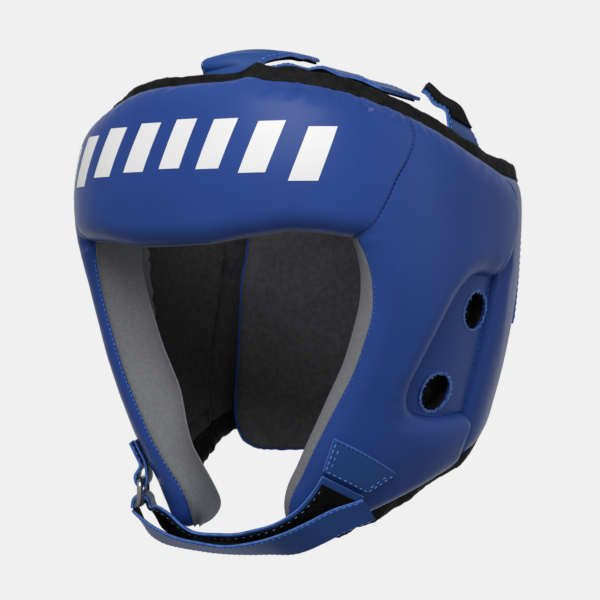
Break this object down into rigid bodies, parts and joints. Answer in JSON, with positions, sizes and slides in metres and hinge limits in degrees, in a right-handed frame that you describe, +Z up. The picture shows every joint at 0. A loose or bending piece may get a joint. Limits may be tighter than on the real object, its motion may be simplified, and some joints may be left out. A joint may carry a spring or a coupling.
{
  "type": "boxing headgear",
  "caption": "Padded leather boxing headgear with open face, ear recesses, hinged rear wing and strap, chin strap with ring, and crown straps.",
  "frame": {"origin": "centre of the head cavity, level with the ears' upper part", "axes": "-Y is the wearer's forward, +X the wearer's left, +Z up"},
  "size_m": [0.2068, 0.2281, 0.2356],
  "materials": {
    "blue_leather": "smooth satin",
    "grey_suede": "brushed suede",
    "foam": "open-cell foam",
    "black_binding": "matte folded tape",
    "hook_and_loop": "hook-and-loop tape",
    "steel": "bent wire"
  },
  "bodies": {
    "shell": {"forehead_cover": "blue_leather", "side_cover_left": "blue_leather", "side_cover_right": "blue_leather", "ear_panel_left": "blue_leather", "ear_panel_right": "blue_leather", "wing_cover_left": "blue_leather", "back_pad_cover": "blue_leather", "chin_anchor_patch": "blue_leather", "chin_strap": "blue_leather", "ring_tab": "blue_leather", "forehead_lining": "grey_suede", "side_lining_left": "grey_suede", "side_lining_right": "grey_suede", "ear_lining_left": "grey_suede", "ear_lining_right": "grey_suede", "wing_lining_left": "grey_suede", "back_pad_lining": "grey_suede", "forehead_foam": "foam", "side_foam_left": "foam", "side_foam_right": "foam", "ear_foam_left": "foam", "ear_foam_right": "foam", "wing_foam_left": "foam", "back_pad_foam": "foam", "crown_binding": "black_binding", "jaw_binding_left": "black_binding", "jaw_binding_right": "black_binding", "wing_top_binding_left": "black_binding", "wing_lower_binding_left": "black_binding", "rear_loop_patch": "hook_and_loop", "chin_ring": "steel"},
    "right_wing": {"wing_cover_right": "blue_leather", "wing_foam_right": "foam", "wing_lining_right": "grey_suede", "wing_top_binding_right": "black_binding", "wing_lower_binding_right": "black_binding", "rear_strap_root": "blue_leather"},
    "rear_strap": {"rear_strap": "blue_leather", "rear_hook_patch": "hook_and_loop"},
    "chin_tail": {"chin_tail": "blue_leather"},
    "crown_strap_left": {"crown_strap_left": "blue_leather", "crown_loop_patch_left": "hook_and_loop"},
    "crown_strap_right": {"crown_strap_right": "blue_leather", "crown_hook_patch_right": "hook_and_loop"},
    "crown_strap_front": {"crown_strap_front": "blue_leather", "crown_hook_patch_front": "hook_and_loop"}
  },
  "joints": [
    {"name": "right_wing_open", "type": "hinge", "parent": "shell", "child": "right_wing", "pos_m": [-0.09847, 0.02582, -0.00167], "axis": [0, 0, 1], "range_deg": [0, 35], "stiffness_Nm_per_rad": 0.6},
    {"name": "rear_strap_peel", "type": "hinge", "parent": "right_wing", "child": "rear_strap", "pos_m": [-0.04692, 0.10842, 0.01431], "axis": [0, 0, 1], "range_deg": [0, 50]},
    {"name": "chin_tail_peel", "type": "hinge", "parent": "shell", "child": "chin_tail", "pos_m": [-0.06614, -0.0486, -0.1014], "axis": [-0.5, 0.866, 0], "range_deg": [0, 35]},
    {"name": "crown_left_lift", "type": "hinge", "parent": "shell", "child": "crown_strap_left", "pos_m": [0.08515, 0.01275, 0.0716], "axis": [-0.0115, 0.9768, -0.2137], "range_deg": [0, 45], "stiffness_Nm_per_rad": 0.15},
    {"name": "crown_right_lift", "type": "hinge", "parent": "shell", "child": "crown_strap_right", "pos_m": [-0.08463, 0.00818, 0.0728], "axis": [0.0143, -0.9749, 0.2223], "range_deg": [0, 45], "stiffness_Nm_per_rad": 0.4},
    {"name": "crown_front_lift", "type": "hinge", "parent": "shell", "child": "crown_strap_front", "pos_m": [0.00811, -0.07836, 0.10362], "axis": [0.9973, 0.072, 0.0129], "range_deg": [0, 60], "stiffness_Nm_per_rad": 0.15}
  ]
}
